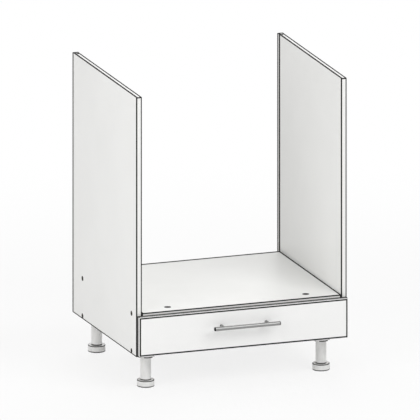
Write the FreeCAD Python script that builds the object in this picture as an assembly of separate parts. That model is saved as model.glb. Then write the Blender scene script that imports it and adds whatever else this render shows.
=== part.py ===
import FreeCAD, Part
import math
import os

from FreeCAD import Placement, Rotation, Vector

# Oven-housing base cabinet: two sides, an oven shelf, one low drawer and four adjustable legs.
# Millimetres. X runs across the front, Y from front to back, Z up.
# The origin is on the floor, midway across the width and midway along the overall depth.

# Carcass
CARCASS_WIDTH = 600.0        # over the outer faces of the two sides
CARCASS_DEPTH = 500.0        # of a side, from its front edge to its back edge
NICHE_HEIGHT = 600.0         # oven niche, from the shelf to the top of the sides
LEG_HEIGHT = 100.0           # from the floor to the underside of the carcass
BOARD = 16.0                 # thickness of the carcass boards
BAND = 1.0                   # thickness of the edge bands
BAND_ROUND = 0.6             # rounding along the outer edges of the bands
ROUND_SHARE = 0.8            # largest rounding, as a share of the wall that it is cut from

# Back groove and the thin back panel of the drawer bay
GROOVE_STRIP = 16.0          # board left behind the groove
GROOVE_WIDTH = 4.0
GROOVE_DEPTH = 8.0
BACK_BOARD = 3.0             # thickness of the back panel
BACK_SIDE_PLAY = 0.5         # between the back panel and the groove's floor, each side
BACK_INSET = 2.0             # of the back panel's edges below the shelf top and above the underside

# Rail under the front of the shelf
RAIL_WIDTH = 80.0
RAIL_BOARD = 16.0

# Drawer front
FRONT_BOARD = 16.0
FRONT_GAP = 1.0              # between the front's inner face and the carcass
FRONT_SIDE_REVEAL = 2.0      # of the carcass beside the front
FRONT_LOW_REVEAL = 3.0       # of the carcass below the front
FRONT_TOP_REVEAL = 7.0       # of the shelf's edge above the front
FRONT_ROUND = 3.0            # rounding round the outer face

# Drawer box
DRAWER_BOARD = 16.0
DRAWER_WALL_HEIGHT = 58.0
DRAWER_LIFT = 6.0            # above the bottom panel
DRAWER_HEADROOM = 8.0        # below the rail
DRAWER_BASE = 3.0            # thickness of the drawer's base
BASE_RISE = 8.0              # of the base's groove above the lower edges of the walls
BASE_GROOVE_DEPTH = 6.0
BASE_PLAY = 0.2              # height of the groove over the base
BASE_END_PLAY = 0.5          # between the base and the groove's floor

# Handle
HANDLE_LENGTH = 188.0
HANDLE_BAR_D = 11.0
HANDLE_POST_D = 8.0
HANDLE_OVERHANG = 30.0       # of the bar past each post
HANDLE_STANDOFF = 30.0       # from the front's face to the bar's axis
HANDLE_DROP = 43.0           # from the front's top edge to the bar's axis
HANDLE_END_ROUND = 1.0
SPIGOT_D = 5.0               # peg on each post that enters the bar
SPIGOT_LENGTH = 6.0

# Runners, ball-bearing, with three rails each
RUNNER_WIDTH = 12.7          # between the cabinet side and the drawer wall
RUNNER_HEIGHT = 45.0
RUNNER_SETBACK = 2.0         # behind the front edge of the carcass
RUNNER_REAR_ROOM = 28.0      # between the runner and the back panel
RAIL_STEP = 3.0              # each inner rail is this much shorter than the one around it
SHEET = 1.2                  # sheet thickness of the rails
LIP = 3.6                    # height of the turned-in lips
CAGE_SHEET = 0.6
CAGE_LENGTH = 200.0
CAGE_END = 12.0              # from the cage's end to its first ball
BALLS_PER_ROW = 8
BALL_D = 3.0
BALL_PLAY = 0.3              # between a ball and its race
BALL_HOLE_PLAY = 0.15        # between a ball and its hole in the cage
RUNNER_GAP = 0.4             # between neighbouring sheets
HEAD_ROOM = 1.8              # behind the outer cage, for the screw heads

# Legs
LEG_SIDE_INSET = 50.0        # from the outer face of the side
LEG_FRONT_INSET = 64.0       # from the front edge of the carcass
LEG_REAR_INSET = 32.0        # from the back edge of the bottom panel
SOCKET_HEIGHT = 18.0
SOCKET_PLATE = 4.0           # plate at the top of the socket
SOCKET_WALL = 1.5            # between the tube and a notch
NOTCH_WIDTH = 11.0
NOTCH_PLAY = 0.2             # round a screw head in its notch
TUBE_D = 29.0
TUBE_WALL = 2.5
TUBE_PLAY = 0.1              # between tube and socket
FOOT_D = 47.0
FOOT_HEIGHT = 18.0
FOOT_ROUND = 1.0
STEM_LENGTH = 46.0
STEM_PLAY = 0.2              # between the stem and the tube
THREAD_PITCH = 4.0
THREAD_DEPTH = 1.2
THREAD_START = 2.0           # plain neck above the foot

# Screws
SCREW_PLAY = 0.05            # round every shank in its hole
HEAD_SINK = 0.3              # of a countersunk head below its face
CONFIRMAT_D = 7.0
CONFIRMAT_HEAD_D = 10.0
CONFIRMAT_HEAD_H = 4.0
CONFIRMAT_LENGTH = 50.0
HEX_ACROSS = 4.0             # hexagon socket in a carcass screw
HEX_DEPTH = 2.5
FRONT_SCREW_INSET = 38.0     # of the front screw line from the carcass front
REAR_SCREW_INSET = 58.0      # of the rear screw line from the back edge of shelf and bottom
BOX_SCREW_RISE = 20.0        # of the lower box screws above the lower edges of the walls
BOX_SCREW_DROP = 9.0         # of the upper box screws below the top edges of the walls
WOOD_SCREW_D = 4.0
WOOD_SCREW_HEAD_D = 7.0
WOOD_SCREW_HEAD_H = 2.2
CROSS_WIDTH = 1.0            # slots of the cross recess
CROSS_DEPTH = 0.8
SCREW_COVER = 4.0            # of board left beyond the tip of a screw
RAIL_SCREW_HEAD_D = 8.0
RAIL_SCREW_HEAD_H = 3.0
RAIL_SCREW_INSET = 87.0      # from the inner face of the side
CAP_D = 15.0
CAP_THICKNESS = 1.6
CAP_PLAY = 0.1
BACK_SCREW_LENGTH = 18.0
BACK_SCREW_INSET = 64.0      # from the inner face of the side
BACK_SCREW_COUNT = 3         # along each board
FRONT_FIX_INSET = 56.0       # from the inner face of the drawer wall
FRONT_FIX_RISE = 18.0        # of the lower screws above the lower edge of the inner front
FRONT_FIX_DROP = 12.0        # of the upper screws below its top edge
HANDLE_SCREW_D = 4.0
HANDLE_SCREW_HEAD_D = 8.0
HANDLE_SCREW_GRIP = 8.0      # thread that enters a post
RUNNER_SCREW_END = 36.0      # from a rail's ends to its first and last screws
RUNNER_SCREW_COUNT = 3       # along each rail

# Places worked out from the sizes above
INNER_WIDTH = CARCASS_WIDTH - 2 * BOARD
OVERALL_DEPTH = CARCASS_DEPTH + FRONT_GAP + FRONT_BOARD + HANDLE_STANDOFF + HANDLE_BAR_D / 2
Y_BACK = OVERALL_DEPTH / 2
Y_FRONT = Y_BACK - CARCASS_DEPTH
Y_GROOVE = Y_BACK - GROOVE_STRIP - GROOVE_WIDTH
Y_PANEL_BACK = Y_FRONT - FRONT_GAP
Y_PANEL_FACE = Y_PANEL_BACK - FRONT_BOARD
Y_HANDLE = Y_PANEL_FACE - HANDLE_STANDOFF
Z_UNDER = LEG_HEIGHT
Z_FLOOR = Z_UNDER + BOARD
Z_DRAWER = Z_FLOOR + DRAWER_LIFT
Z_DRAWER_TOP = Z_DRAWER + DRAWER_WALL_HEIGHT
Z_RAIL = Z_DRAWER_TOP + DRAWER_HEADROOM
Z_SHELF = Z_RAIL + RAIL_BOARD
Z_SHELF_TOP = Z_SHELF + BOARD
Z_TOP = Z_SHELF_TOP + NICHE_HEIGHT
Z_PANEL_LOW = Z_UNDER + FRONT_LOW_REVEAL
Z_PANEL_TOP = Z_SHELF_TOP - FRONT_TOP_REVEAL
Z_HANDLE = Z_PANEL_TOP - HANDLE_DROP
Z_RUNNER = (Z_DRAWER + Z_DRAWER_TOP) / 2
DRAWER_WIDTH = INNER_WIDTH - 2 * RUNNER_WIDTH
DRAWER_INSIDE = DRAWER_WIDTH - 2 * DRAWER_BOARD
RUNNER_LENGTH = Y_GROOVE - Y_FRONT - RUNNER_SETBACK - RUNNER_REAR_ROOM
Y_RUNNER = Y_FRONT + RUNNER_SETBACK
Y_BOX_BACK = Y_PANEL_BACK + RUNNER_LENGTH
LEFT = -1
RIGHT = 1
SIDES = {"left": LEFT, "right": RIGHT}
UP = Vector(0, 0, 1)
DOWN = Vector(0, 0, -1)
FORWARD = Vector(0, -1, 0)

parts = {}


# Shapes that repeat

def block(x, y, z):
    """Box between the given limits on each axis."""
    x, y, z = sorted(x), sorted(y), sorted(z)
    corner = Vector(x[0], y[0], z[0])
    return Part.makeBox(x[1] - x[0], y[1] - y[0], z[1] - z[0], corner)


def across(width):
    """Limits of a width centred on X."""
    return (-width / 2, width / 2)


def turned(profile):
    """Solid of revolution about Z from a closed outline of (radius, height) points."""
    points = [Vector(radius, 0, height) for radius, height in profile]
    solid = Part.Face(Part.makePolygon(points + points[:1])).revolve(Vector(), UP, 360)
    if solid.Volume < 0:
        solid.reverse()
    return solid


def placed(shape, base, direction):
    """Shape modelled along +Z from the origin, moved to base and turned towards direction."""
    copy = shape.copy()
    copy.Placement = Placement(base, Rotation(UP, direction)).multiply(shape.Placement)
    return copy


def long_edges(shape, axis, value, length):
    """Edges longer than length that lie where the axis has this value."""
    def on_plane(edge):
        return all(abs(getattr(vertex.Point, axis) - value) < 1e-6 for vertex in edge.Vertexes)
    return [edge for edge in shape.Edges if on_plane(edge) and edge.Length > length]


def band_strip(x, y, z, axis, value):
    """Edge band whose two long edges on its outer face are rounded."""
    strip = block(x, y, z)
    return strip.makeFillet(min(BAND_ROUND, ROUND_SHARE * BAND), long_edges(strip, axis, value, 2 * BOARD))


def countersunk(head_d, head_h, shank_d, length, play=0.0, lead=0.0):
    """Flat-headed screw along +Z with its head's top at the origin, swollen by play and led out by lead."""
    head = head_d / 2 + play
    shank = shank_d / 2 + play
    land = head_h / 3
    return turned([(0, -lead), (head, -lead), (head, land), (shank, head_h),
                   (shank, length + play - shank), (0, length + play)])


def pan_screw(head_d, head_h, shank_d, length):
    """Round-headed screw along +Z with the underside of its head at the origin."""
    head, shank = head_d / 2, shank_d / 2
    screw = turned([(0, -head_h), (head / 2, -head_h), (head, -head_h / 2), (head, 0), (shank, 0),
                    (shank, length - shank), (0, length)])
    arm, slot = (-head / 2, head / 2), (-CROSS_WIDTH / 2, CROSS_WIDTH / 2)
    depth = (-head_h, -head_h + CROSS_DEPTH)
    return screw.cut([block(arm, slot, depth), block(slot, arm, depth)])


def shank_hole(shank_d, length):
    """Hole along +Z for a round-headed screw."""
    return Part.makeCylinder(shank_d / 2 + SCREW_PLAY, length + SCREW_PLAY)


def hexagon_socket():
    """Hexagonal recess along +Z."""
    radius = HEX_ACROSS / 2 / math.cos(math.pi / 6)
    corners = [Vector(radius * math.cos(i * math.pi / 3), radius * math.sin(i * math.pi / 3), 0)
               for i in range(6)]
    return Part.Face(Part.makePolygon(corners + corners[:1])).extrude(Vector(0, 0, HEX_DEPTH))


def evenly(first, last, count):
    """Places from first to last, equally spaced."""
    return [first + (last - first) * i / (count - 1) for i in range(count)]


confirmat = countersunk(CONFIRMAT_HEAD_D, CONFIRMAT_HEAD_H, CONFIRMAT_D, CONFIRMAT_LENGTH)
confirmat = confirmat.cut(hexagon_socket())
confirmat_hole = countersunk(CONFIRMAT_HEAD_D, CONFIRMAT_HEAD_H, CONFIRMAT_D, CONFIRMAT_LENGTH,
                             SCREW_PLAY, 2 * HEAD_SINK)

# Places of the screws, shared by the screws and their holes

def inward(side):
    """Direction from a side towards the middle of the cabinet."""
    return Vector(-side, 0, 0)


carcass_lines = (Y_FRONT + FRONT_SCREW_INSET, Y_GROOVE - REAR_SCREW_INSET)
carcass_levels = (Z_UNDER + BOARD / 2, Z_SHELF + BOARD / 2)
carcass_spots = [(Vector(side * (CARCASS_WIDTH / 2 - HEAD_SINK), y, z), inward(side))
                 for side in (LEFT, RIGHT) for y in carcass_lines for z in carcass_levels]
carcass_holes = [placed(confirmat_hole, base, direction) for base, direction in carcass_spots]

cap_spots = [Vector(side * (INNER_WIDTH / 2 - RAIL_SCREW_INSET), Y_FRONT + FRONT_SCREW_INSET, Z_SHELF_TOP)
             for side in (LEFT, RIGHT)]
rail_screw_length = BOARD - CAP_THICKNESS + RAIL_BOARD - SCREW_COVER
rail_screw_spots = [spot + DOWN * CAP_THICKNESS for spot in cap_spots]
rail_screw_hole = countersunk(RAIL_SCREW_HEAD_D, RAIL_SCREW_HEAD_H, WOOD_SCREW_D, rail_screw_length,
                              SCREW_PLAY)
rail_screw_holes = [placed(rail_screw_hole, spot, DOWN) for spot in rail_screw_spots]

back_reach = INNER_WIDTH / 2 - BACK_SCREW_INSET
back_screw_spots = [Vector(x, Y_GROOVE + BACK_BOARD, z)
                    for x in evenly(-back_reach, back_reach, BACK_SCREW_COUNT) for z in carcass_levels]
back_screw_holes = [placed(shank_hole(WOOD_SCREW_D, BACK_SCREW_LENGTH), spot, FORWARD)
                    for spot in back_screw_spots]

box_screw_spots = [(Vector(side * (DRAWER_WIDTH / 2 - HEAD_SINK), y, Z_DRAWER + rise), inward(side))
                   for side in (LEFT, RIGHT)
                   for y in (Y_PANEL_BACK + DRAWER_BOARD / 2, Y_BOX_BACK - DRAWER_BOARD / 2)
                   for rise in (BOX_SCREW_RISE, DRAWER_WALL_HEIGHT - BOX_SCREW_DROP)]
box_screw_holes = [placed(confirmat_hole, base, direction) for base, direction in box_screw_spots]

front_fix_length = DRAWER_BOARD + FRONT_BOARD - SCREW_COVER
front_fix_x = DRAWER_INSIDE / 2 - FRONT_FIX_INSET
front_fix_spots = [Vector(side * front_fix_x, Y_PANEL_BACK + DRAWER_BOARD, Z_DRAWER + rise)
                   for side in (LEFT, RIGHT)
                   for rise in (FRONT_FIX_RISE, DRAWER_WALL_HEIGHT - FRONT_FIX_DROP)]
front_fix_holes = [placed(shank_hole(WOOD_SCREW_D, front_fix_length), spot, FORWARD)
                   for spot in front_fix_spots]

handle_screw_length = DRAWER_BOARD + FRONT_BOARD + HANDLE_SCREW_GRIP
handle_post_x = HANDLE_LENGTH / 2 - HANDLE_OVERHANG
handle_screw_spots = [Vector(side * handle_post_x, Y_PANEL_BACK + DRAWER_BOARD, Z_HANDLE)
                      for side in (LEFT, RIGHT)]
handle_screw_holes = [placed(shank_hole(HANDLE_SCREW_D, handle_screw_length), spot, FORWARD)
                      for spot in handle_screw_spots]

runner_screw_length = SHEET + min(BOARD, DRAWER_BOARD) - SCREW_COVER
runner_screw_head_h = HEAD_ROOM - RUNNER_GAP
runner_screw_rows = evenly(Y_RUNNER + RUNNER_SCREW_END,
                           Y_RUNNER + RUNNER_LENGTH - 2 * RAIL_STEP - RUNNER_SCREW_END, RUNNER_SCREW_COUNT)
runner_hole = shank_hole(WOOD_SCREW_D, runner_screw_length)
cabinet_runner_spots = [(Vector(side * (INNER_WIDTH / 2 - SHEET), y, Z_RUNNER), Vector(side, 0, 0))
                        for side in (LEFT, RIGHT) for y in runner_screw_rows]
drawer_runner_spots = [(Vector(side * (DRAWER_WIDTH / 2 + SHEET), y, Z_RUNNER), inward(side))
                       for side in (LEFT, RIGHT) for y in runner_screw_rows]
cabinet_runner_holes = [placed(runner_hole, base, direction) for base, direction in cabinet_runner_spots]
drawer_runner_holes = [placed(runner_hole, base, direction) for base, direction in drawer_runner_spots]

socket_bore = TUBE_D / 2 + TUBE_PLAY
notch_floor = socket_bore + SOCKET_WALL
socket_radius = notch_floor + WOOD_SCREW_HEAD_D + 2 * NOTCH_PLAY
leg_screw_radius = (notch_floor + socket_radius) / 2
leg_screw_length = SOCKET_PLATE + BOARD - SCREW_COVER
z_plate = Z_UNDER - SOCKET_PLATE
notch_angles = [45.0 + 90.0 * i for i in range(4)]
leg_spots = {row + "_" + name: Vector(side * (CARCASS_WIDTH / 2 - LEG_SIDE_INSET), y, 0)
             for row, y in (("front", Y_FRONT + LEG_FRONT_INSET), ("rear", Y_GROOVE - LEG_REAR_INSET))
             for name, side in SIDES.items()}
leg_screw_spots = [spot + Vector(leg_screw_radius * math.cos(math.radians(angle)),
                                 leg_screw_radius * math.sin(math.radians(angle)), z_plate)
                   for spot in leg_spots.values() for angle in notch_angles]
leg_screw_holes = [placed(shank_hole(WOOD_SCREW_D, leg_screw_length), spot, UP) for spot in leg_screw_spots]


# Side panels, with their edge bands and back grooves

def side_panel(name, side):
    outer, inner = side * CARCASS_WIDTH / 2, side * INNER_WIDTH / 2
    groove = block((inner, inner + side * GROOVE_DEPTH), (Y_GROOVE, Y_GROOVE + GROOVE_WIDTH),
                   (Z_UNDER, Z_TOP))
    board = block((outer, inner), (Y_FRONT + BAND, Y_BACK), (Z_UNDER, Z_TOP - BAND))
    parts[name + "_side_panel"] = board.cut([groove] + carcass_holes + cabinet_runner_holes)
    front_band = band_strip((outer, inner), (Y_FRONT, Y_FRONT + BAND), (Z_UNDER, Z_TOP), "y", Y_FRONT)
    top_band = band_strip((outer, inner), (Y_FRONT + BAND, Y_BACK), (Z_TOP - BAND, Z_TOP), "z", Z_TOP)
    parts[name + "_side_edge_bands"] = [front_band, top_band.cut(groove)]


for name, side in SIDES.items():
    side_panel(name, side)


# Shelf and bottom, between the sides

def cross_band(height):
    """Edge band on the front of a board between the sides."""
    return band_strip(across(INNER_WIDTH), (Y_FRONT, Y_FRONT + BAND), height, "y", Y_FRONT)


def cross_panel(node, band_node, low, holes):
    height = (low, low + BOARD)
    board = block(across(INNER_WIDTH), (Y_FRONT + BAND, Y_GROOVE), height)
    parts[node] = board.cut(holes)
    parts[band_node] = cross_band(height)


cap = Part.makeCylinder(CAP_D / 2, CAP_THICKNESS)
cap_recess = Part.makeCylinder(CAP_D / 2 + CAP_PLAY, CAP_THICKNESS)
cap_recesses = [placed(cap_recess, spot, DOWN) for spot in cap_spots]
cross_panel("oven_shelf", "shelf_edge_band", Z_SHELF,
            carcass_holes + cap_recesses + rail_screw_holes + back_screw_holes)
cross_panel("bottom_panel", "bottom_edge_band", Z_UNDER, carcass_holes + leg_screw_holes + back_screw_holes)

# Rail under the front of the shelf, with its edge band, its screws and their caps

rail_height = (Z_RAIL, Z_SHELF)
rail = block(across(INNER_WIDTH), (Y_FRONT + BAND, Y_FRONT + RAIL_WIDTH), rail_height)
parts["shelf_rail"] = rail.cut(rail_screw_holes)
parts["shelf_rail_edge_band"] = cross_band(rail_height)
rail_screw = countersunk(RAIL_SCREW_HEAD_D, RAIL_SCREW_HEAD_H, WOOD_SCREW_D, rail_screw_length)
parts["shelf_rail_screws"] = [placed(rail_screw, spot, DOWN) for spot in rail_screw_spots]
parts["shelf_screw_caps"] = [placed(cap, spot, DOWN) for spot in cap_spots]

# Back panel of the drawer bay

back_width = INNER_WIDTH + 2 * (GROOVE_DEPTH - BACK_SIDE_PLAY)
back_panel = block(across(back_width), (Y_GROOVE, Y_GROOVE + BACK_BOARD),
                   (Z_UNDER + BACK_INSET, Z_SHELF_TOP - BACK_INSET))
parts["back_panel"] = back_panel.cut(back_screw_holes)
back_screw = pan_screw(WOOD_SCREW_HEAD_D, WOOD_SCREW_HEAD_H, WOOD_SCREW_D, BACK_SCREW_LENGTH)
parts["back_panel_screws"] = [placed(back_screw, spot, FORWARD) for spot in back_screw_spots]

parts["carcass_screws"] = [placed(confirmat, base, direction) for base, direction in carcass_spots]

# Drawer front

panel = block(across(CARCASS_WIDTH - 2 * FRONT_SIDE_REVEAL), (Y_PANEL_FACE, Y_PANEL_BACK),
              (Z_PANEL_LOW, Z_PANEL_TOP))
panel = panel.makeFillet(min(FRONT_ROUND, ROUND_SHARE * FRONT_BOARD), long_edges(panel, "y", Y_PANEL_FACE, 0))
parts["drawer_front"] = panel.cut(front_fix_holes + handle_screw_holes)

# Drawer box, whose base lies in a groove round its four boards

z_board = (Z_DRAWER, Z_DRAWER_TOP - BAND)
z_band = (Z_DRAWER_TOP - BAND, Z_DRAWER_TOP)
y_box = (Y_PANEL_BACK, Y_BOX_BACK)
y_inside = (Y_PANEL_BACK + DRAWER_BOARD, Y_BOX_BACK - DRAWER_BOARD)
z_base = Z_DRAWER + BASE_RISE
z_base_groove = (z_base, z_base + DRAWER_BASE + BASE_PLAY)
base_reach = BASE_GROOVE_DEPTH - BASE_END_PLAY
wall_grooves = block(across(DRAWER_INSIDE + 2 * BASE_GROOVE_DEPTH), y_box, z_base_groove)
end_grooves = block(across(DRAWER_INSIDE), (y_inside[0] - BASE_GROOVE_DEPTH, y_inside[1] + BASE_GROOVE_DEPTH),
                    z_base_groove)
drawer_bands = []

for name, side in SIDES.items():
    wall_x = (side * DRAWER_WIDTH / 2, side * DRAWER_INSIDE / 2)
    wall = block(wall_x, y_box, z_board)
    parts["drawer_" + name + "_wall"] = wall.cut([wall_grooves] + box_screw_holes + drawer_runner_holes)
    drawer_bands.append(band_strip(wall_x, y_box, z_band, "z", Z_DRAWER_TOP))

for node, y_end in (("drawer_inner_front", (y_box[0], y_inside[0])),
                    ("drawer_back_wall", (y_inside[1], y_box[1]))):
    board = block(across(DRAWER_INSIDE), y_end, z_board)
    parts[node] = board.cut([end_grooves] + box_screw_holes + front_fix_holes + handle_screw_holes)
    drawer_bands.append(band_strip(across(DRAWER_INSIDE), y_end, z_band, "z", Z_DRAWER_TOP))

parts["drawer_edge_bands"] = drawer_bands
parts["drawer_base"] = block(across(DRAWER_INSIDE + 2 * base_reach),
                             (y_inside[0] - base_reach, y_inside[1] + base_reach),
                             (z_base, z_base + DRAWER_BASE))
parts["drawer_box_screws"] = [placed(confirmat, base, direction) for base, direction in box_screw_spots]
front_fix = pan_screw(WOOD_SCREW_HEAD_D, WOOD_SCREW_HEAD_H, WOOD_SCREW_D, front_fix_length)
parts["drawer_front_screws"] = [placed(front_fix, spot, FORWARD) for spot in front_fix_spots]

# Handle: a round bar on two posts, each held by a screw through the drawer front

bar_radius = HANDLE_BAR_D / 2
bar_ends = bar_radius - HANDLE_END_ROUND
bar_body = HANDLE_LENGTH - HANDLE_END_ROUND
bar = turned([(0, 0), (bar_ends, 0), (bar_radius, HANDLE_END_ROUND), (bar_radius, bar_body),
              (bar_ends, HANDLE_LENGTH), (0, HANDLE_LENGTH)])
bar = placed(bar, Vector(-HANDLE_LENGTH / 2, Y_HANDLE, Z_HANDLE), Vector(1, 0, 0))
spigot_tip = HANDLE_STANDOFF - bar_radius + SPIGOT_LENGTH
bar_drillings = []

for name, side in SIDES.items():
    foot = Vector(side * handle_post_x, Y_PANEL_FACE, Z_HANDLE)
    stalk = placed(Part.makeCylinder(HANDLE_POST_D / 2, HANDLE_STANDOFF), foot, FORWARD).cut(bar)
    spigot = placed(Part.makeCylinder(SPIGOT_D / 2, spigot_tip), foot, FORWARD)
    bar_drillings.append(placed(Part.makeCylinder(SPIGOT_D / 2, spigot_tip), foot, FORWARD))
    parts[name + "_handle_post"] = stalk.fuse(spigot).cut(handle_screw_holes).removeSplitter()

parts["handle_bar"] = bar.cut(bar_drillings)
handle_screw = pan_screw(HANDLE_SCREW_HEAD_D, WOOD_SCREW_HEAD_H, HANDLE_SCREW_D, handle_screw_length)
parts["handle_screws"] = [placed(handle_screw, spot, FORWARD) for spot in handle_screw_spots]

# Runners. A section is drawn in u, from the cabinet side towards the drawer, and v, up from mid-height.

u_outer_cage = SHEET + HEAD_ROOM
u_middle = u_outer_cage + CAGE_SHEET + RUNNER_GAP
u_inner_cage = u_middle + SHEET + RUNNER_GAP
u_drawer_tip = u_inner_cage + CAGE_SHEET + RUNNER_GAP
u_middle_tip = RUNNER_WIDTH - RUNNER_GAP
u_cabinet_tip = u_middle_tip - SHEET - RUNNER_GAP
race = BALL_D + 2 * BALL_PLAY
v_cabinet = RUNNER_HEIGHT / 2
v_middle = v_cabinet - SHEET - race
v_drawer = v_middle - SHEET - race


def channel(u_web, u_tip, half_height, sheet, lip=0.0):
    """Outline of a C-section with its web at u_web and its flanges reaching to u_tip, with lips if any."""
    step = math.copysign(sheet, u_tip - u_web)
    upper = [(u_web, half_height), (u_tip, half_height)]
    if lip:
        upper += [(u_tip, half_height - lip), (u_tip - step, half_height - lip)]
        upper += [(u_tip - step, half_height - sheet)]
    else:
        upper += [(u_tip, half_height - sheet)]
    upper += [(u_web + step, half_height - sheet)]
    return upper + [(u, -v) for u, v in reversed(upper)]


def drawn(side, outline, y_start, length):
    """Runner section drawn out along Y."""
    points = [Vector(side * (INNER_WIDTH / 2 - u), y_start, Z_RUNNER + v) for u, v in outline]
    solid = Part.Face(Part.makePolygon(points + points[:1])).extrude(Vector(0, length, 0))
    return solid


def ball_cage(side, u_web, u_tip, v_row):
    """Thin channel with two rows of balls, each ball free in its own hole."""
    y_start = Y_RUNNER + (RUNNER_LENGTH - CAGE_LENGTH) / 2
    cage = drawn(side, channel(u_web, u_tip, v_row + CAGE_SHEET / 2, CAGE_SHEET), y_start, CAGE_LENGTH)
    u_ball = (u_web + CAGE_SHEET + u_tip) / 2
    x_ball = side * (INNER_WIDTH / 2 - u_ball)
    rows = evenly(y_start + CAGE_END, y_start + CAGE_LENGTH - CAGE_END, BALLS_PER_ROW)
    centres = [Vector(x_ball, y, Z_RUNNER + v) for v in (v_row, -v_row) for y in rows]
    balls = [Part.makeSphere(BALL_D / 2, centre) for centre in centres]
    holes = [placed(Part.makeCylinder(BALL_D / 2 + BALL_HOLE_PLAY, BALL_D), centre + DOWN * (BALL_D / 2), UP)
             for centre in centres]
    return [cage.cut(holes)] + balls


for name, side in SIDES.items():
    cabinet_rail = drawn(side, channel(0, u_cabinet_tip, v_cabinet, SHEET, LIP), Y_RUNNER, RUNNER_LENGTH)
    middle_rail = drawn(side, channel(u_middle, u_middle_tip, v_middle, SHEET, LIP), Y_RUNNER,
                        RUNNER_LENGTH - RAIL_STEP)
    drawer_rail = drawn(side, channel(RUNNER_WIDTH, u_drawer_tip, v_drawer, SHEET), Y_RUNNER,
                        RUNNER_LENGTH - 2 * RAIL_STEP)
    parts[name + "_runner_cabinet_rail"] = cabinet_rail.cut(cabinet_runner_holes)
    parts[name + "_runner_middle_rail"] = middle_rail
    parts[name + "_runner_drawer_rail"] = drawer_rail.cut(drawer_runner_holes)
    parts[name + "_runner_outer_cage"] = ball_cage(side, u_outer_cage, u_cabinet_tip - SHEET - RUNNER_GAP,
                                                   v_cabinet - SHEET - race / 2)
    parts[name + "_runner_inner_cage"] = ball_cage(side, u_inner_cage, u_middle_tip - SHEET - RUNNER_GAP,
                                                   v_middle - SHEET - race / 2)

runner_screw = pan_screw(WOOD_SCREW_HEAD_D, runner_screw_head_h, WOOD_SCREW_D, runner_screw_length)
for node, spots in (("runner_cabinet_screws", cabinet_runner_spots),
                    ("runner_drawer_screws", drawer_runner_spots)):
    parts[node] = [placed(runner_screw, base, direction) for base, direction in spots]

# Legs: a notched socket, a tube that plugs into it, and a foot whose threaded stem screws into the tube

def leg_socket():
    low = Z_UNDER - SOCKET_HEIGHT
    body = turned([(0, low), (socket_radius, low), (socket_radius, Z_UNDER), (0, Z_UNDER)])
    bore = Part.makeCylinder(socket_bore, z_plate - low, Vector(0, 0, low))
    notches = []
    for angle in notch_angles:
        notch = block((notch_floor, 2 * socket_radius), (-NOTCH_WIDTH / 2, NOTCH_WIDTH / 2), (low, z_plate))
        notch.rotate(Vector(), UP, angle)
        notches.append(notch)
    return body.cut([bore] + notches)


def leg_tube():
    outer, inner = TUBE_D / 2, TUBE_D / 2 - TUBE_WALL
    return turned([(inner, FOOT_HEIGHT), (outer, FOOT_HEIGHT), (outer, z_plate), (inner, z_plate)])


def leg_foot():
    rim = FOOT_D / 2
    crest = TUBE_D / 2 - TUBE_WALL - STEM_PLAY
    root = crest - THREAD_DEPTH
    outline = [(0, 0), (rim - FOOT_ROUND, 0), (rim, FOOT_ROUND), (rim, FOOT_HEIGHT - FOOT_ROUND),
               (rim - FOOT_ROUND, FOOT_HEIGHT), (root, FOOT_HEIGHT)]
    stem_top = FOOT_HEIGHT + STEM_LENGTH
    threads = int((STEM_LENGTH - THREAD_START) / THREAD_PITCH)
    for i in range(threads):
        z = FOOT_HEIGHT + THREAD_START + i * THREAD_PITCH
        outline += [(root, z), (crest, z + THREAD_PITCH / 4), (crest, z + THREAD_PITCH / 2),
                    (root, z + 3 * THREAD_PITCH / 4)]
    return turned(outline + [(root, stem_top), (0, stem_top)])


socket, tube, foot = leg_socket(), leg_tube(), leg_foot()

for leg, spot in leg_spots.items():
    parts[leg + "_leg_socket"] = placed(socket, spot, UP).cut(leg_screw_holes)
    parts[leg + "_leg_tube"] = placed(tube, spot, UP)
    parts[leg + "_foot"] = placed(foot, spot, UP)

leg_screw = pan_screw(WOOD_SCREW_HEAD_D, WOOD_SCREW_HEAD_H, WOOD_SCREW_D, leg_screw_length)
parts["leg_socket_screws"] = [placed(leg_screw, spot, UP) for spot in leg_screw_spots]

# One file for each sub-part

os.makedirs("parts", exist_ok=True)
for node, shape in parts.items():
    solids = shape if isinstance(shape, list) else [shape]
    solids = [solid for item in solids for solid in item.Solids]
    shape = solids[0] if len(solids) == 1 else Part.makeCompound(solids)
    shape.exportStep("parts/" + node + ".step")
    print(node, len(solids), all(solid.isValid() for solid in solids), round(shape.Volume, 1))
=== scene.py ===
import math

import bpy
from mathutils import Matrix, Vector

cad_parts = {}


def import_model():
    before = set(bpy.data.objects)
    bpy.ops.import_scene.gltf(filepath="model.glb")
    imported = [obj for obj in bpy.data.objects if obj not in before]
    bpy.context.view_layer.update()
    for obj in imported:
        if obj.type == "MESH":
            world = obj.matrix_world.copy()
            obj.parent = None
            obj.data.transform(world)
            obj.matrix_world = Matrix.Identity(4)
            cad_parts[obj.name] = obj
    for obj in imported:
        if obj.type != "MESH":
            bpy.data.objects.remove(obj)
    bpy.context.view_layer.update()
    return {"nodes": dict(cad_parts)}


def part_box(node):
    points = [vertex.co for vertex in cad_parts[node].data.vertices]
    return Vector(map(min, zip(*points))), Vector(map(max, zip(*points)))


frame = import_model()
nodes = frame["nodes"]

# View of the photograph: parallel lines stay parallel, so the camera is orthographic
VIEW_AZIMUTH = -20.0
VIEW_ELEVATION = 15.0
FRAME_PIXELS = 420.0
PIXELS_PER_METRE = 373.1
CORNER_PIXEL = (136.3, 357.1)        # lower front corner of the left side panel
CAMERA_DISTANCE = 4.0

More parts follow.
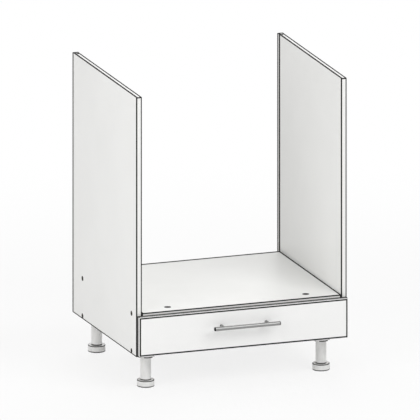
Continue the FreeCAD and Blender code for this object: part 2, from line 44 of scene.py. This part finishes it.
# Floor, backdrop and light
FLOOR_SIZE = 14.0
FLOOR_COLOUR = (0.93, 0.93, 0.93, 1)
FLOOR_ROUGHNESS = 0.9
FLOOR_DROP = 0.0004                  # keeps the floor clear of the undersides of the feet
FLOOR_CLEAR = 0.78                   # share of the white backdrop that shows through the floor
FLOOR_FADE = (1.0, 2.2)              # distances between which the floor turns into the backdrop
BACKDROP_COLOUR = (1, 1, 1, 1)
BACKDROP_SEEN = 1.0                  # strength for the camera and in reflections
BACKDROP_LIGHT = 0.58                # strength of the light that it throws on things
LIGHT_TARGET = (0, 0, 0.45)
SOFTBOXES = {                        # place and width in metres, power in watts
    "key": ((1.5, -2.8, 2.6), 1.8, 44.0),
    "fill": ((-2.6, -1.6, 1.5), 2.2, 31.0),
    "rear": ((0.6, 2.6, 2.4), 2.0, 25.0),
}

# Colours, linear
WHITE = (0.86, 0.86, 0.845, 1)
FRONT_WHITE = (0.88, 0.88, 0.872, 1)
BAND_WHITE = (0.85, 0.85, 0.835, 1)
LINE_GREY = (0.004, 0.004, 0.0042, 1)
CHIP_PALE = (0.50, 0.36, 0.21, 1)
CHIP_DARK = (0.22, 0.13, 0.065, 1)
CHIP_PORE = (0.07, 0.038, 0.018, 1)
FIBRE_PALE = (0.26, 0.15, 0.075, 1)
FIBRE_DARK = (0.16, 0.085, 0.04, 1)
LEG_WHITE = (0.81, 0.81, 0.80, 1)
CAP_GREY = (0.02, 0.02, 0.021, 1)
SCREW_BLACK = (0.006, 0.006, 0.007, 1)
ZINC = (0.60, 0.61, 0.63, 1)
ZINC_SHADE = (0.516, 0.5246, 0.567, 1)
RUNNER_ZINC = (0.50, 0.515, 0.53, 1)
HANDLE_STEEL = (0.30, 0.30, 0.297, 1)

# Dark lines that the photograph shows along every edge, metres. Those of boards have a width for the low
# and one for the high end, by the face's axis and then by the axis that the width lies along. A line on
# a face seen aslant is wider, and one beside the line of a front or top edge is thinner, so that all
# look alike in that view.
BOARD_LINES = {
    0: {1: (0.0024, 0.0080), 2: (0.0031, 0.0008)},
    1: {0: (0.0032, 0.0032), 2: (0.0030, 0.0030)},
    2: {0: (0.0050, 0.0050), 1: (0.0022, 0.0098)},
}
FACE_TANGENT_LINE = 0.0026           # either side of where the drawer front's rounding starts on the face
SIDE_TANGENT_LINE = 0.0013           # either side of where it ends
BAR_END_LINE = 0.0026                # at the ends of the handle bar
LOW_RIM_LINE = 0.0030                # either side of a lower circular edge of the legs
TOP_RIM_LINE = 0.0020
HEAD_LINE = 0.0020                   # either side of a round head's outline; round a sunk screw head it also stands for the countersink's shade
GROOVE_LINE = 0.003                  # round the mouth of the back groove; also how deep into the groove its bare walls are darkened as painted shade
LINE_SOFTNESS = 0.15                 # as a share of the width
LINE_ROUGHNESS = 0.9

# Sizes of the CAD pieces that the lines follow, metres
FRONT_ROUNDING = 0.003               # radius of the drawer front's edges
LEG_DISC_HEIGHT = 0.018              # of the foot's disc and of the socket
SCREW_HEAD_RADIUS = 0.005
GROOVE_WIDTH = 0.004                 # back groove of the sides, open at the top
GROOVE_DEPTH = 0.008
SKIN = 0.0003                        # depth within which a face counts as the board's own surface
SQUARE_ON = 0.7                      # least share of a normal along an axis where the face is square to it

# Patterns: scale per metre and detail of a noise, and the two values that it is spread between
NOISE_SPAN = (0.3, 0.7)              # most of a noise lies between these
WIDE_SPAN = (0.25, 0.75)
COAT_CLOUDS = (5.0, 4.0, 0.98, 1.0)
COAT_GRAIN = (900.0, 2.0, 0.975, 1.0)
BOARD_ROUGHNESS = (14.0, 5.0, 0.36, 0.46)
BAND_ROUGHNESS = (30.0, 4.0, 0.30, 0.42)
FRONT_ROUGHNESS = (9.0, 2.0, 0.30, 0.33)
HARDBOARD_CLOUDS = (25.0, 4.0, 0.86, 1.0)
ZINC_CLOUDS = (90.0, 5.0, 0.0, 1.0)
ZINC_ROUGHNESS = (300.0, 3.0, 0.26, 0.40)
PLASTIC_CLOUDS = (35.0, 3.0, 0.93, 1.0)
LEG_ROUGHNESS = (60.0, 3.0, 0.37, 0.48)
DARK_ROUGHNESS = (60.0, 3.0, 0.55, 0.66)

# Reliefs: scale per metre and detail of a noise, its height in metres and its strength
BAND_RELIEF = (700.0, 2.0, 0.0002, 0.2)
FRONT_RELIEF = (260.0, 2.0, 0.0003, 0.12)
HARDBOARD_RELIEF = (1000.0, 3.0, 0.0003, 0.25)
ZINC_RELIEF = (1600.0, 2.0, 0.0001, 0.2)
PLASTIC_RELIEF = (2200.0, 2.0, 0.0002, 0.3)

# Board: a coated chipboard with bare edges
BOARD_BUMP = (0.0004, 0.5)           # height in metres and strength
COAT_PEARL = (1400.0, 2.0)           # scale and detail of the coat's fine texture
COAT_PEARL_SHARE = 0.15              # of the height that bare chips have
CHIP_FLATNESS = 2.5                  # the chips lie flat in the board
CHIP_CORE = (0.0015, 0.0045)         # depths below a face between which the chips turn from fine to coarse
CHIP_SCALE = 330.0
CHIP_DUST_SCALE = 1100.0
CHIP_RAG = (600.0, 3.0)              # scale and detail of the noise that frays the chips' outlines
CHIP_RAGGEDNESS = (0.003, 0.003, 0.003)
CHIP_FIBRES = (1800.0, 4.0)
CHIP_FIBRE_SHARE = 0.3
CHIP_PORES = (0.1, 0.22)             # tones between which a pore fades out
CHIP_ROUGHNESS = 0.85

# Hardboard fibres: scale, detail and twist of the noise
FIBRES = (900.0, 6.0)
FIBRE_TWIST = 1.5
FIBRE_ROUGHNESS = (0.45, 0.6)

# Brushed metal: lines per metre along each axis, and the depth of their relief in metres
HANDLE_LINES = (12, 1800, 1800)
HANDLE_LINE_DEPTH = 0.00008
RUNNER_LINES = (900, 10, 900)
RUNNER_LINE_DEPTH = 0.00006
BRUSH_DETAIL = 5.0
BRUSH_TONES = (0.86, 1.0)
BRUSH_ROUGHNESS = (0.29, 0.39)
BRUSH_STRENGTH = 0.35
BLOTCHES = (40.0, 3.0)
BLOTCH_SPAN = (0.35, 0.7)
BLOTCH_ROUGHNESS = (0.0, 0.06)       # added to that of the lines

# Gloss: specular level of the shaders
BOARD_SPECULAR = 0.3
BAND_SPECULAR = 0.25
FRONT_SPECULAR = 0.3
PLASTIC_SPECULAR = 0.5
DARK_SPECULAR = 0.15                 # for dull caps and blackened screws


class Graph:
    """A material's node tree, with short calls that add a node and hand back its output."""

    def __init__(self, name):
        self.material = bpy.data.materials.new(name)
        self.material.use_nodes = True
        self.tree = self.material.node_tree
        self.shader = self.tree.nodes["Principled BSDF"]

    def put(self, socket, value):
        if isinstance(value, bpy.types.NodeSocket):
            self.tree.links.new(value, socket)
        else:
            socket.default_value = value

    def add(self, kind, inputs=(), output=0, **settings):
        node = self.tree.nodes.new("ShaderNode" + kind)
        for key, value in settings.items():
            setattr(node, key, value)
        for key, value in dict(inputs).items():
            self.put(node.inputs[key], value)
        return node.outputs[output]

    def math(self, operation, *values):
        return self.add("Math", enumerate(values), operation=operation)

    def split(self, vector):
        """The three values of a vector."""
        return list(self.add("SeparateXYZ", {0: vector}).node.outputs)

    def mix(self, factor, first, second, blend="MIX"):
        return self.add("Mix", {0: factor, 6: first, 7: second}, 2, data_type="RGBA", blend_type=blend)

    def blend(self, factor, first, second):
        return self.add("Mix", {0: factor, 2: first, 3: second}, data_type="FLOAT")

    def ramp(self, value, low, high, to_low=0.0, to_high=1.0):
        limits = {"Value": value, "From Min": low, "From Max": high, "To Min": to_low, "To Max": to_high}
        return self.add("MapRange", limits, interpolation_type="SMOOTHSTEP")

    def place(self, stretch=(1, 1, 1)):
        """Place on the object at rest, in metres, stretched along the axes."""
        coords = self.add("TexCoord", output="Object")
        return self.add("Mapping", {"Vector": coords, "Scale": stretch})

    def noise(self, scale, detail, stretch=(1, 1, 1), output="Fac", **more):
        inputs = {"Vector": self.place(stretch), "Scale": scale, "Detail": detail, **more}
        return self.add("TexNoise", inputs, output)

    def pattern(self, scale, detail, low, high):
        """Noise spread between two values."""
        return self.ramp(self.noise(scale, detail), *NOISE_SPAN, low, high)

    def bump(self, height, distance, strength):
        return self.add("Bump", {"Height": height, "Distance": distance, "Strength": strength})

    def relief(self, scale, detail, distance, strength):
        """Normals of a surface with a relief of noise."""
        return self.bump(self.noise(scale, detail), distance, strength)

    def surface(self, **sockets):
        """Sets or links the shader's sockets, whose names have underscores for spaces."""
        for key, value in sockets.items():
            self.put(self.shader.inputs[key.replace("_", " ")], value)
        return self.material


# Places and faces
def joined_box(*names):
    """Lowest and highest corners of several nodes together."""
    boxes = [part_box(name) for name in names]
    low = [min(box[0][i] for box in boxes) for i in range(3)]
    high = [max(box[1][i] for box in boxes) for i in range(3)]
    return low, high


def place_axes(graph):
    """Place on the object at rest, as three values in metres."""
    return graph.split(graph.add("TexCoord", output="Object"))


def facing(graph, axis, sign=None):
    """1 on faces square to the axis, or only on those that look the way of the sign, 0 on the others."""
    along = graph.split(graph.add("NewGeometry", output="True Normal"))[axis]
    share = graph.math("MULTIPLY", along, sign) if sign else graph.math("ABSOLUTE", along)
    return graph.math("GREATER_THAN", share, SQUARE_ON)


def depth_along(graph, box, axis):
    """Depth of a point below the nearer end of the box along the axis."""
    low, high = box[0][axis], box[1][axis]
    offset = graph.math("ABSOLUTE", graph.math("SUBTRACT", place_axes(graph)[axis], (low + high) / 2))
    return graph.math("SUBTRACT", (high - low) / 2, offset)


def off_centre(graph, value, centre, mirror=None):
    """Distance from the centre along one axis, and from its image where there is a mirror plane."""
    if mirror is not None:
        value = graph.math("ADD", graph.math("ABSOLUTE", graph.math("SUBTRACT", value, mirror)), mirror)
    return graph.math("SUBTRACT", value, centre)


def off_circle(graph, first, second, radius):
    """Distance from a circle, given the two distances from its centre."""
    reach = graph.math("SQRT", graph.math("ADD", graph.math("MULTIPLY", first, first),
                                          graph.math("MULTIPLY", second, second)))
    return graph.math("ABSOLUTE", graph.math("SUBTRACT", reach, radius))


# Lines
def line_at(graph, distance, width):
    """1 where the distance is below the width, 0 above it."""
    soft = width * LINE_SOFTNESS
    return graph.ramp(distance, width - soft, width + soft, 1.0, 0.0)


def either(graph, *lines):
    """1 where any of the lines is."""
    total = lines[0]
    for line in lines[1:]:
        total = graph.math("MAXIMUM", total, line)
    return total


def edge_line(graph, box):
    """1 along the edges of the box, 0 away from them."""
    places = place_axes(graph)
    lines = []
    for axis, widths in BOARD_LINES.items():
        for other, (low_width, high_width) in widths.items():
            from_low = graph.math("SUBTRACT", places[other], box[0][other])
            from_high = graph.math("SUBTRACT", box[1][other], places[other])
            share = graph.math("MINIMUM", graph.math("DIVIDE", from_low, low_width),
                               graph.math("DIVIDE", from_high, high_width))
            lines.append(graph.math("MULTIPLY", facing(graph, axis), line_at(graph, share, 1.0)))
    return either(graph, *lines)


def rounded_front_line(graph, box, radius):
    """1 where the rounding of a front face starts and ends, and along the edges behind it."""
    inward = graph.math("SUBTRACT", place_axes(graph)[1], box[0][1])
    to_rim = graph.math("MINIMUM", depth_along(graph, box, 0), depth_along(graph, box, 2))
    off_start = graph.math("ABSOLUTE", graph.math("SUBTRACT", to_rim, radius))
    off_end = graph.math("ABSOLUTE", graph.math("SUBTRACT", inward, radius))
    on_face = graph.math("LESS_THAN", inward, SKIN)
    behind = graph.math("GREATER_THAN", inward, radius)
    return either(graph, graph.math("MULTIPLY", edge_line(graph, box), behind),
                  graph.math("MULTIPLY", line_at(graph, off_start, FACE_TANGENT_LINE), on_face),
                  line_at(graph, off_end, SIDE_TANGENT_LINE))


def rim_line(graph, centre, radius, rims):
    """1 along the circular edges of an upright disc, given as heights and widths of line."""
    x, y, z = place_axes(graph)
    aside = off_circle(graph, off_centre(graph, x, centre[0]), off_centre(graph, y, centre[1]), radius)
    lines = []
    for height, width in rims:
        along = graph.math("ABSOLUTE", graph.math("SUBTRACT", z, height))
        lines.append(line_at(graph, graph.math("MAXIMUM", aside, along), width))
    return either(graph, *lines)


def head_rings(graph, node, axis, radius):
    """1 on rings round the outermost discs of a node, which lie in mirrored pairs square to the axis. The
    rings are outlines, and round sunk screw heads they are also painted shade of the countersinks.
    """
    low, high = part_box(node)
    places = place_axes(graph)
    offsets = []
    for i in range(3):
        if i == axis:
            continue
        mirror = (low[i] + high[i]) / 2
        offsets.append(off_centre(graph, places[i], high[i] - radius, mirror))
    return line_at(graph, off_circle(graph, *offsets, radius), HEAD_LINE)


def groove_line(graph):
    """1 round the mouth of the back groove, on the inner face of a side and on its top edge."""
    panel_low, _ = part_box("back_panel")
    _, shelf_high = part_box("oven_shelf")
    x, y, _ = place_axes(graph)
    aside = graph.math("ABSOLUTE", off_centre(graph, y, panel_low[1] + GROOVE_WIDTH / 2))
    beside = graph.math("SUBTRACT", aside, GROOVE_WIDTH / 2)
    beyond = graph.math("SUBTRACT", graph.math("ABSOLUTE", x), shelf_high[0] + GROOVE_DEPTH)
    return line_at(graph, graph.math("MAXIMUM", beside, beyond), GROOVE_LINE)


# Materials
def white_coat(graph, colour):
    """White coated surface: cloudy by a few percent, with a fine grain."""
    shade = graph.math("MULTIPLY", graph.pattern(*COAT_CLOUDS), graph.pattern(*COAT_GRAIN))
    return graph.mix(1.0, colour, shade, "MULTIPLY")


def chips(graph, scale, stretch):
    """Tone and relief of wood chips of one size, with ragged outlines."""
    ragged = graph.add("VectorMath", {0: graph.noise(*CHIP_RAG, output="Color"), 1: CHIP_RAGGEDNESS,
                                      2: graph.place(stretch)}, operation="MULTIPLY_ADD")
    cells = graph.add("TexVoronoi", {"Vector": ragged, "Scale": scale}).node
    return graph.add("SeparateColor", {0: cells.outputs["Color"]}, "Red"), cells.outputs["Distance"]


def chipboard(graph, depth, axis):
    """Bare cut edge of a chipboard, coarse in the middle of the thickness and fine near the faces."""
    stretch = [1.0, 1.0, 1.0]
    stretch[axis] = CHIP_FLATNESS
    core = graph.ramp(depth, *CHIP_CORE)
    coarse, relief = chips(graph, CHIP_SCALE, stretch)
    fine, dust = chips(graph, CHIP_DUST_SCALE, stretch)
    fibres = graph.ramp(graph.noise(*CHIP_FIBRES), *WIDE_SPAN)
    tone = graph.blend(CHIP_FIBRE_SHARE, graph.blend(core, fine, coarse), fibres)
    pore = graph.ramp(tone, *CHIP_PORES, 1.0, 0.0)
    colour = graph.mix(pore, graph.mix(tone, CHIP_DARK, CHIP_PALE), CHIP_PORE)
    return colour, graph.blend(core, dust, relief)


def board_material(name, box, axis, heads=None, grooved=False):
    """Chipboard with white melamine on the two faces square to the axis, and bare cut edges.

    Where heads names a node of round heads and their radius, each head has a dark line round it: an outline,
    and for a sunk screw head also painted shade of its countersink.
    A grooved board has a line round the mouth of its groove, and painted shade on the bare walls of the
    groove near its mouth.
    """
    graph = Graph(name)
    depth = depth_along(graph, box, axis)
    coated = graph.math("MULTIPLY", facing(graph, axis), graph.math("LESS_THAN", depth, SKIN))
    line = edge_line(graph, box)
    if heads:
        # Dark ring round each head: an outline, and round sunk screw heads also painted shade of the
        # countersink
        line = either(graph, line, head_rings(graph, heads[0], axis, heads[1]))
    cut, relief = chipboard(graph, depth, axis)
    if grooved:
        groove = groove_line(graph)
        line = either(graph, line, groove)
        # Painted shade: the bare chipboard walls of the groove near its mouth are darkened as if in the
        # groove's shadow
        groove_shade = graph.math("MULTIPLY", groove, graph.math("LESS_THAN", depth, GROOVE_LINE))
        cut = graph.mix(groove_shade, cut, LINE_GREY)
    coat = graph.mix(line, white_coat(graph, WHITE), LINE_GREY)
    pearl = graph.math("MULTIPLY", graph.noise(*COAT_PEARL), COAT_PEARL_SHARE)
    rough = graph.blend(line, graph.pattern(*BOARD_ROUGHNESS), LINE_ROUGHNESS)
    return graph.surface(
        Base_Color=graph.mix(coated, cut, coat),
        Roughness=graph.blend(coated, CHIP_ROUGHNESS, rough),
        Normal=graph.bump(graph.blend(coated, relief, pearl), *BOARD_BUMP),
        Specular_IOR_Level=BOARD_SPECULAR)


def band_material(name, box, grooved=False):
    """White plastic edge band, with lines along its edges and, if grooved, round the groove."""
    graph = Graph(name)
    line = edge_line(graph, box)
    if grooved:
        line = either(graph, line, groove_line(graph))
    return graph.surface(
        Base_Color=graph.mix(line, white_coat(graph, BAND_WHITE), LINE_GREY),
        Roughness=graph.blend(line, graph.pattern(*BAND_ROUGHNESS), LINE_ROUGHNESS),
        Normal=graph.relief(*BAND_RELIEF),
        Specular_IOR_Level=BAND_SPECULAR)


def front_material():
    """Satin white drawer front with a faint orange-peel surface and a line along its rounded edges."""
    graph = Graph("front_white")
    line = rounded_front_line(graph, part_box("drawer_front"), FRONT_ROUNDING)
    return graph.surface(
        Base_Color=graph.mix(line, white_coat(graph, FRONT_WHITE), LINE_GREY),
        Roughness=graph.blend(line, graph.pattern(*FRONT_ROUGHNESS), LINE_ROUGHNESS),
        Normal=graph.relief(*FRONT_RELIEF),
        Specular_IOR_Level=FRONT_SPECULAR)


def hardboard_material(name, axis, white_sign):
    """Thin hardboard, white on the face that looks one way along the axis and brown fibre elsewhere."""
    graph = Graph(name)
    fibres = graph.noise(*FIBRES, Distortion=FIBRE_TWIST)
    brown = graph.mix(graph.ramp(fibres, *NOISE_SPAN), FIBRE_DARK, FIBRE_PALE)
    brown = graph.mix(1.0, brown, graph.pattern(*HARDBOARD_CLOUDS), "MULTIPLY")
    return graph.surface(
        Base_Color=graph.mix(facing(graph, axis, white_sign), brown, white_coat(graph, WHITE)),
        Roughness=graph.ramp(fibres, *NOISE_SPAN, *FIBRE_ROUGHNESS),
        Normal=graph.relief(*HARDBOARD_RELIEF))


def brushed_material(name, colour, stretch, depth, bar=None):
    """Metal brushed along the axis with the fewest lines per metre, dark at the ends of a bar along X."""
    graph = Graph(name)
    lines = graph.noise(1.0, BRUSH_DETAIL, stretch)
    tone = graph.mix(1.0, colour, graph.ramp(lines, *WIDE_SPAN, *BRUSH_TONES), "MULTIPLY")
    if bar:
        ends = depth_along(graph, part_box(bar), 0)
        tone = graph.mix(line_at(graph, ends, BAR_END_LINE), tone, LINE_GREY)
    rough = graph.math("ADD", graph.ramp(lines, *NOISE_SPAN, *BRUSH_ROUGHNESS),
                       graph.ramp(graph.noise(*BLOTCHES), *BLOTCH_SPAN, *BLOTCH_ROUGHNESS))
    return graph.surface(Base_Color=tone, Metallic=1.0, Roughness=rough,
                         Normal=graph.bump(lines, depth, BRUSH_STRENGTH))


def plated_material(name):
    """Zinc plating: pale, faintly clouded, a little uneven in its shine."""
    graph = Graph(name)
    return graph.surface(
        Base_Color=graph.mix(graph.pattern(*ZINC_CLOUDS), ZINC, ZINC_SHADE),
        Metallic=1.0,
        Roughness=graph.pattern(*ZINC_ROUGHNESS),
        Normal=graph.relief(*ZINC_RELIEF))


def moulded_material(name, colour, roughness, specular, rim=None):
    """Moulded plastic with an eroded fine grain, slight cloudiness and, given a rim, dark lines along it."""
    graph = Graph(name)
    tone = graph.mix(1.0, colour, graph.pattern(*PLASTIC_CLOUDS), "MULTIPLY")
    if rim:
        tone = graph.mix(rim_line(graph, *rim), tone, LINE_GREY)
    return graph.surface(
        Base_Color=tone,
        Roughness=graph.pattern(*roughness),
        Normal=graph.relief(*PLASTIC_RELIEF),
        Specular_IOR_Level=specular)


def leg_material(name):
    """Leg plastic, with lines along a tube's lower end and the rims of a socket's or foot's disc."""
    low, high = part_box(name)
    centre = [(low[i] + high[i]) / 2 for i in range(2)]
    rims = [(low[2], LOW_RIM_LINE)]
    if not name.endswith("_tube"):
        rims.append((low[2] + LEG_DISC_HEIGHT, TOP_RIM_LINE))
    rim = (centre, (high[0] - low[0]) / 2, rims)
    return moulded_material(f"{name}_plastic", LEG_WHITE, LEG_ROUGHNESS, PLASTIC_SPECULAR, rim)


def dress(name, material):
    """Gives a node its finish."""
    mesh = nodes[name].data
    mesh.materials.clear()
    mesh.materials.append(material)


# Boards and their edge bands
screw_heads = ("carcass_screws", SCREW_HEAD_RADIUS)
for hand in ("left", "right"):
    side_box = joined_box(f"{hand}_side_panel", f"{hand}_side_edge_bands")
    dress(f"{hand}_side_panel", board_material(f"{hand}_side_board", side_box, 0, screw_heads, grooved=True))
    dress(f"{hand}_side_edge_bands", band_material(f"{hand}_side_band", side_box, grooved=True))
    wall = f"drawer_{hand}_wall"
    dress(wall, board_material(f"{wall}_board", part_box(wall), 0))
cap_low, cap_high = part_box("shelf_screw_caps")
cap_heads = ("shelf_screw_caps", (cap_high[1] - cap_low[1]) / 2)
for panel, band, heads in (("oven_shelf", "shelf_edge_band", cap_heads),
                           ("bottom_panel", "bottom_edge_band", None),
                           ("shelf_rail", "shelf_rail_edge_band", None)):
    panel_box = joined_box(panel, band)
    dress(panel, board_material(f"{panel}_board", panel_box, 2, heads))
    dress(band, band_material(f"{panel}_band", panel_box))
for wall in ("drawer_inner_front", "drawer_back_wall"):
    dress(wall, board_material(f"{wall}_board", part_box(wall), 1))
dress("drawer_edge_bands", band_material("drawer_band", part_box("drawer_edge_bands")))
dress("drawer_front", front_material())
dress("back_panel", hardboard_material("back_hardboard", 1, -1))
dress("drawer_base", hardboard_material("base_hardboard", 2, 1))

# Handle, runners, screws, caps and legs
handle_steel = brushed_material("handle_steel", HANDLE_STEEL, HANDLE_LINES, HANDLE_LINE_DEPTH, "handle_bar")
for name in ("handle_bar", "left_handle_post", "right_handle_post"):
    dress(name, handle_steel)
runner_steel = brushed_material("runner_steel", RUNNER_ZINC, RUNNER_LINES, RUNNER_LINE_DEPTH)
zinc = plated_material("zinc_screw_steel")
black_steel = moulded_material("dark_screw_steel", SCREW_BLACK, DARK_ROUGHNESS, DARK_SPECULAR)
dress("shelf_screw_caps", moulded_material("cap_plastic", CAP_GREY, DARK_ROUGHNESS, DARK_SPECULAR))
for name in nodes:
    if name in ("carcass_screws", "drawer_box_screws"):
        dress(name, black_steel)
    elif name.endswith("_screws"):
        dress(name, zinc)
    elif "_runner_" in name:
        dress(name, runner_steel)
    elif "_leg_" in name or name.endswith("_foot"):
        dress(name, leg_material(name))


# Floor and light
def seen_directly(tree):
    """1 for the camera and for mirror-like rays, 0 for the light that falls on things."""
    path = tree.nodes.new("ShaderNodeLightPath")
    total = path.outputs["Is Camera Ray"]
    for output in ("Is Glossy Ray", "Is Transmission Ray"):
        larger = tree.nodes.new("ShaderNodeMath")
        larger.operation = "MAXIMUM"
        tree.links.new(total, larger.inputs[0])
        tree.links.new(path.outputs[output], larger.inputs[1])
        total = larger.outputs[0]
    return total


def floor():
    """Pale floor that keeps the object's shadow, mostly clear to the camera and fading into the backdrop."""
    bpy.ops.mesh.primitive_plane_add(size=FLOOR_SIZE, location=(0, 0, -FLOOR_DROP))
    plane = bpy.context.object
    plane.name = "studio_floor"
    graph = Graph("studio_floor")
    graph.surface(Base_Color=FLOOR_COLOUR, Roughness=FLOOR_ROUGHNESS, Specular_IOR_Level=0.0)
    reach = graph.add("VectorMath", {0: graph.place()}, "Value", operation="LENGTH")
    clear = graph.ramp(reach, *FLOOR_FADE, FLOOR_CLEAR, 1.0)
    share = graph.math("MULTIPLY", seen_directly(graph.tree), clear)
    mixed = graph.add("MixShader", {0: share, 1: graph.shader.outputs[0], 2: graph.add("BsdfTransparent")})
    graph.tree.links.new(mixed, graph.tree.nodes["Material Output"].inputs["Surface"])
    plane.data.materials.append(graph.material)


def world():
    """White backdrop that lights the object less brightly than it looks."""
    sky = bpy.data.worlds.new("studio")
    sky.use_nodes = True
    tree = sky.node_tree
    background = tree.nodes["Background"]
    background.inputs["Color"].default_value = BACKDROP_COLOUR
    strength = tree.nodes.new("ShaderNodeMapRange")
    strength.inputs["To Min"].default_value = BACKDROP_LIGHT
    strength.inputs["To Max"].default_value = BACKDROP_SEEN
    tree.links.new(seen_directly(tree), strength.inputs["Value"])
    tree.links.new(strength.outputs[0], background.inputs["Strength"])
    bpy.context.scene.world = sky


def softbox(name, place, size, power):
    """Square area lamp that looks at the middle of the object."""
    lamp = bpy.data.lights.new(name, "AREA")
    lamp.shape = "SQUARE"
    lamp.size = size
    lamp.energy = power
    holder = bpy.data.objects.new(name, lamp)
    bpy.context.collection.objects.link(holder)
    holder.location = place
    holder.rotation_euler = (Vector(LIGHT_TARGET) - Vector(place)).to_track_quat("-Z", "Y").to_euler()


# Camera
def camera():
    """Orthographic camera with the corner of the left side where the photograph has it."""
    azimuth, elevation = math.radians(VIEW_AZIMUTH), math.radians(VIEW_ELEVATION)
    right = Vector((math.cos(azimuth), math.sin(azimuth), 0))
    back = Vector((math.sin(azimuth) * math.cos(elevation), -math.cos(azimuth) * math.cos(elevation),
                   math.sin(elevation)))
    up = back.cross(right)
    corner, _ = joined_box("left_side_panel", "left_side_edge_bands")
    centre = Vector(corner) + right * (FRAME_PIXELS / 2 - CORNER_PIXEL[0]) / PIXELS_PER_METRE
    centre += up * (CORNER_PIXEL[1] - FRAME_PIXELS / 2) / PIXELS_PER_METRE
    lens = bpy.data.cameras.new("camera")
    lens.type = "ORTHO"
    lens.ortho_scale = FRAME_PIXELS / PIXELS_PER_METRE
    holder = bpy.data.objects.new("camera", lens)
    bpy.context.collection.objects.link(holder)
    turn = Matrix((right, up, back)).transposed()
    holder.matrix_world = Matrix.Translation(centre + back * CAMERA_DISTANCE) @ turn.to_4x4()
    bpy.context.scene.camera = holder


floor()
world()
for name, (place, size, power) in SOFTBOXES.items():
    softbox(name, place, size, power)
camera()
bpy.context.scene.view_settings.view_transform = "Standard"
